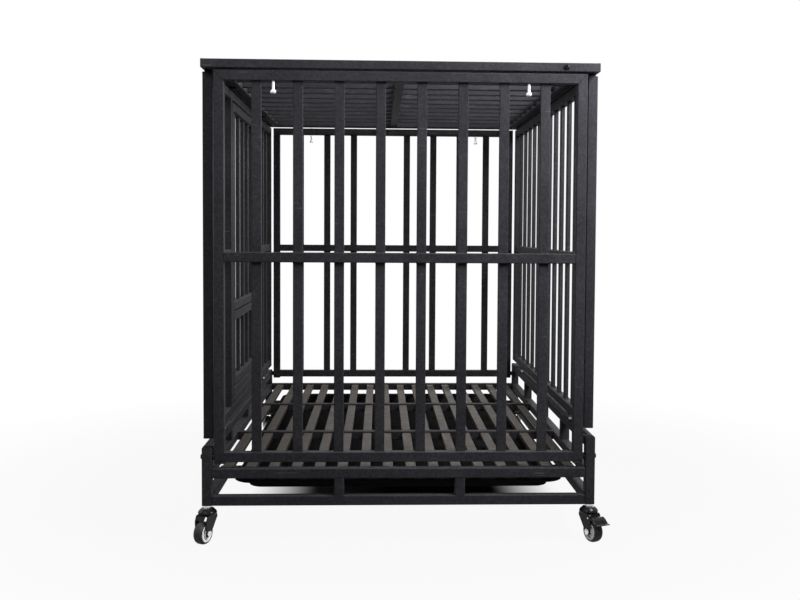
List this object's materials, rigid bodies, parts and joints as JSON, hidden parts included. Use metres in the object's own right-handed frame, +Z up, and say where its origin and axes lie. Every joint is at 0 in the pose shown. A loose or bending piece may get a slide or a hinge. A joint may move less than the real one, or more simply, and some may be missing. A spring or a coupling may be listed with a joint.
{
  "type": "folding dog crate",
  "caption": "Black square-tube folding dog crate on casters, with a side door, feeder door, opening lid, slatted floor and slide-out tray.",
  "frame": {"origin": "on the floor, under the middle of the crate", "axes": "+Z up, -Y towards the front end panel, -X towards the door side, +Y along the length"},
  "size_m": [0.8086, 1.1476, 0.9247],
  "materials": {
    "black_frame": "satin fine-texture black powder coat",
    "slat_steel": "satin dark powder coat, worn and dusty",
    "chrome": "bright zinc or chrome plate",
    "black_bolt": "black oxide",
    "tray_plastic": "matte black plastic",
    "caster_black": "gloss black coat",
    "wheel_rubber": "dark grey tread with a white hub"
  },
  "bodies": {
    "base": {"post_front_left": "black_frame", "post_front_right": "black_frame", "post_back_left": "black_frame", "post_back_right": "black_frame", "front_base_frame": "black_frame", "back_base_frame": "black_frame", "left_base_frame": "black_frame", "right_base_frame": "black_frame", "left_lower_rail": "black_frame", "right_lower_rail": "black_frame", "floor_grate": "slat_steel", "tray_runner_front": "slat_steel", "tray_runner_back": "slat_steel", "caster_stem_front_left": "chrome", "caster_stem_front_right": "chrome", "caster_stem_back_left": "chrome", "caster_stem_back_right": "chrome", "pivot_bolt_front_left": "black_bolt", "pivot_bolt_front_right": "black_bolt", "pivot_bolt_back_left": "black_bolt", "pivot_bolt_back_right": "black_bolt", "left_hinge_pin_front": "chrome", "left_hinge_pin_back": "chrome", "right_hinge_pin_front": "chrome", "right_hinge_pin_back": "chrome"},
    "tray": {"tray": "tray_plastic"},
    "front_panel": {"front_panel": "black_frame"},
    "back_panel": {"back_panel": "black_frame"},
    "right_panel": {"right_panel": "black_frame"},
    "left_panel": {"left_panel": "black_frame", "door_hinge_pin_lower": "chrome", "door_hinge_pin_upper": "chrome"},
    "door": {"door": "black_frame", "feeder_hinge_pin_front": "chrome", "feeder_hinge_pin_back": "chrome"},
    "feeder_door": {"feeder_door": "black_frame"},
    "door_latch_bolt": {"door_latch_bolt": "chrome"},
    "feeder_latch_bolt": {"feeder_latch_bolt": "chrome"},
    "top_frame": {"top_frame": "black_frame", "lid_pivot_bolt_front": "black_bolt", "lid_pivot_bolt_back": "black_bolt"},
    "top_lid": {"top_lid": "black_frame"},
    "lock_pin_front_left": {"lock_pin_front_left": "chrome"},
    "caster_fork_front_left": {"caster_fork_front_left": "caster_black"},
    "caster_wheel_front_left": {"caster_wheel_front_left": "wheel_rubber"},
    "lock_pin_front_right": {"lock_pin_front_right": "chrome"},
    "caster_fork_front_right": {"caster_fork_front_right": "caster_black"},
    "caster_wheel_front_right": {"caster_wheel_front_right": "wheel_rubber"},
    "lock_pin_back_left": {"lock_pin_back_left": "chrome"},
    "caster_fork_back_left": {"caster_fork_back_left": "caster_black"},
    "caster_wheel_back_left": {"caster_wheel_back_left": "wheel_rubber"},
    "lock_pin_back_right": {"lock_pin_back_right": "chrome"},
    "caster_fork_back_right": {"caster_fork_back_right": "caster_black"},
    "caster_wheel_back_right": {"caster_wheel_back_right": "wheel_rubber"},
    "brake_pedal_front_right": {"brake_pedal_front_right": "caster_black"},
    "brake_pedal_back_left": {"brake_pedal_back_left": "caster_black"}
  },
  "joints": [
    {"name": "front_panel_fold", "type": "hinge", "parent": "base", "child": "front_panel", "pos_m": [0, -0.5225, 0.166], "axis": [-1, 0, 0], "range_deg": [0, 90.9]},
    {"name": "back_panel_fold", "type": "hinge", "parent": "base", "child": "back_panel", "pos_m": [0, 0.5225, 0.1747], "axis": [1, 0, 0], "range_deg": [0, 89.5]},
    {"name": "left_panel_fold", "type": "hinge", "parent": "base", "child": "left_panel", "pos_m": [-0.361, 0, 0.1914], "axis": [0, -1, 0], "range_deg": [-90, 0]},
    {"name": "right_panel_fold", "type": "hinge", "parent": "base", "child": "right_panel", "pos_m": [0.361, 0, 0.2109], "axis": [0, 1, 0], "range_deg": [-90, 0]},
    {"name": "door_open", "type": "hinge", "parent": "left_panel", "child": "door", "pos_m": [-0.3845, 0.2535, 0.5], "axis": [0, 0, -1], "range_deg": [0, 95]},
    {"name": "feeder_door_open", "type": "hinge", "parent": "door", "child": "feeder_door", "pos_m": [-0.3845, 0, 0.2546], "axis": [0, -1, 0], "range_deg": [0, 110]},
    {"name": "door_latch_slide", "type": "slide", "parent": "door", "child": "door_latch_bolt", "axis": [0, -1, 0], "range_m": [0, 0.012]},
    {"name": "feeder_latch_slide", "type": "slide", "parent": "feeder_door", "child": "feeder_latch_bolt", "axis": [0, 0, 1], "range_m": [0, 0.012]},
    {"name": "top_frame_lift", "type": "slide", "parent": "base", "child": "top_frame", "axis": [0, 0, 1], "range_m": [0, 0.15]},
    {"name": "top_lid_open", "type": "hinge", "parent": "top_frame", "child": "top_lid", "pos_m": [0.3154, 0, 0.9162], "axis": [0, 1, 0], "range_deg": [0, 110]},
    {"name": "tray_slide", "type": "slide", "parent": "base", "child": "tray", "axis": [-1, 0, 0], "range_m": [0, 0.55]},
    {"name": "lock_pin_front_left_slide", "type": "slide", "parent": "front_panel", "child": "lock_pin_front_left", "axis": [0, 0, 1], "range_m": [0, 0.015]},
    {"name": "lock_pin_front_right_slide", "type": "slide", "parent": "front_panel", "child": "lock_pin_front_right", "axis": [0, 0, 1], "range_m": [0, 0.015]},
    {"name": "lock_pin_back_left_slide", "type": "slide", "parent": "back_panel", "child": "lock_pin_back_left", "axis": [0, 0, 1], "range_m": [0, 0.015]},
    {"name": "lock_pin_back_right_slide", "type": "slide", "parent": "back_panel", "child": "lock_pin_back_right", "axis": [0, 0, 1], "range_m": [0, 0.015]},
    {"name": "caster_front_left_swivel", "type": "hinge", "parent": "base", "child": "caster_fork_front_left", "pos_m": [-0.3705, -0.5225, 0.04], "axis": [0, 0, 1], "continuous": true},
    {"name": "caster_front_left_roll", "type": "hinge", "parent": "caster_fork_front_left", "child": "caster_wheel_front_left", "pos_m": [-0.3766, -0.5362, 0.0215], "axis": [0.9135, -0.4067, 0], "continuous": true},
    {"name": "caster_front_right_swivel", "type": "hinge", "parent": "base", "child": "caster_fork_front_right", "pos_m": [0.3705, -0.5225, 0.04], "axis": [0, 0, 1], "continuous": true},
    {"name": "caster_front_right_roll", "type": "hinge", "parent": "caster_fork_front_right", "child": "caster_wheel_front_right", "pos_m": [0.3766, -0.5362, 0.0215], "axis": [0.9135, 0.4067, 0], "continuous": true},
    {"name": "brake_pedal_front_right_press", "type": "hinge", "parent": "caster_fork_front_right", "child": "brake_pedal_front_right", "pos_m": [0.37721, -0.53757, 0.0482], "axis": [0.9135, 0.4067, 0], "range_deg": [0, 8]},
    {"name": "caster_back_left_swivel", "type": "hinge", "parent": "base", "child": "caster_fork_back_left", "pos_m": [-0.3705, 0.5225, 0.04], "axis": [0, 0, 1], "continuous": true},
    {"name": "caster_back_left_roll", "type": "hinge", "parent": "caster_fork_back_left", "child": "caster_wheel_back_left", "pos_m": [-0.3766, 0.5362, 0.0215], "axis": [-0.9135, -0.4067, 0], "continuous": true},
    {"name": "brake_pedal_back_left_press", "type": "hinge", "parent": "caster_fork_back_left", "child": "brake_pedal_back_left", "pos_m": [-0.37721, 0.53757, 0.0482], "axis": [-0.9135, -0.4067, 0], "range_deg": [0, 8]},
    {"name": "caster_back_right_swivel", "type": "hinge", "parent": "base", "child": "caster_fork_back_right", "pos_m": [0.3705, 0.5225, 0.04], "axis": [0, 0, 1], "continuous": true},
    {"name": "caster_back_right_roll", "type": "hinge", "parent": "caster_fork_back_right", "child": "caster_wheel_back_right", "pos_m": [0.3766, 0.5362, 0.0215], "axis": [-0.9135, 0.4067, 0], "continuous": true}
  ]
}
